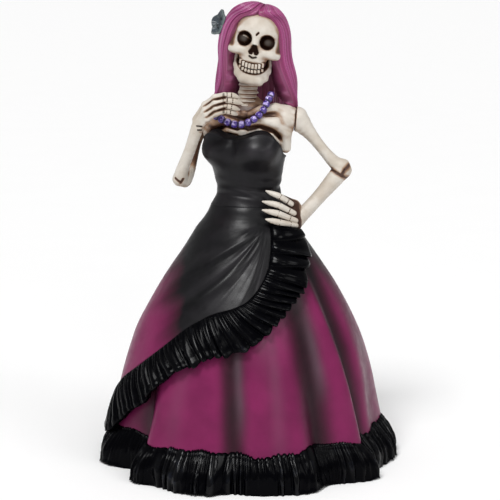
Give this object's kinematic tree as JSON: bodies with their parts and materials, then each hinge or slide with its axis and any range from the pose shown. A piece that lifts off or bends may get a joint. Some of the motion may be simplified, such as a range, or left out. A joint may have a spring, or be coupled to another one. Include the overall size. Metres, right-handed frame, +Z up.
{
  "type": "papier-mache catrina figure",
  "caption": "Standing catrina skeleton lady in a strapless black and magenta ball gown with ruffles, one hand on her hip and one at her beads; glued, no moving parts.",
  "frame": {"origin": "on the floor at the centre of the footprint's bounding box", "axes": "+Z up, -Y is the figure's front, +X is the figure's left side"},
  "size_m": [0.1716, 0.155, 0.2504],
  "materials": {
    "bone_paper": "gessoed papier-mache, ivory paint with a brown antiquing wash, satin varnish",
    "bone_core": "gessoed papier-mache under a heavy brown wash, satin varnish",
    "gown_black": "gessoed papier-mache, black paint, soft gloss lacquer",
    "gown_magenta": "gessoed papier-mache, magenta paint airbrushed to black in the folds, satin lacquer",
    "hair_pink": "modelled paper pulp, pink-magenta paint with darker grooves, satin varnish",
    "rose_slate": "modelled paper pulp, slate paint, satin varnish",
    "beads_purple": "modelled paper pulp, purple paint, gloss varnish",
    "armature_wood": "plain unvarnished wood",
    "armature_wire": "plain steel wire"
  },
  "bodies": {
    "root": {"base_board": "armature_wood", "armature_dowel": "armature_wood", "neck_wire": "armature_wire", "left_arm_wire": "armature_wire", "right_arm_wire": "armature_wire", "skirt_shell": "gown_magenta", "hem_ruffle": "gown_black", "wrap_panel": "gown_black", "wrap_ruffle": "gown_black", "bodice_shell": "gown_black", "torso_core": "bone_core", "left_clavicle": "bone_paper", "right_clavicle": "bone_paper", "left_upper_rib": "bone_paper", "right_upper_rib": "bone_paper", "left_lower_rib": "bone_paper", "right_lower_rib": "bone_paper", "sternum": "bone_paper", "neck_vertebra_1": "bone_paper", "neck_vertebra_2": "bone_paper", "neck_vertebra_3": "bone_paper", "cranium": "bone_paper", "mandible": "bone_paper", "upper_teeth": "bone_paper", "lower_teeth": "bone_paper", "left_side_hair": "hair_pink", "right_side_hair": "hair_pink", "back_hair": "hair_pink", "rose_bud": "rose_slate", "rose_petal_1": "rose_slate", "rose_petal_2": "rose_slate", "rose_petal_3": "rose_slate", "rose_petal_4": "rose_slate", "rose_petal_5": "rose_slate", "left_upper_arm": "bone_paper", "left_forearm": "bone_paper", "left_palm": "bone_paper", "right_upper_arm": "bone_paper", "right_forearm": "bone_paper", "right_palm": "bone_paper", "left_index_finger": "bone_paper", "left_middle_finger": "bone_paper", "left_ring_finger": "bone_paper", "left_little_finger": "bone_paper", "left_thumb": "bone_paper", "right_index_finger": "bone_paper", "right_middle_finger": "bone_paper", "right_ring_finger": "bone_paper", "right_little_finger": "bone_paper", "right_thumb": "bone_paper", "bead_necklace": "beads_purple"}
  },
  "joints": []
}
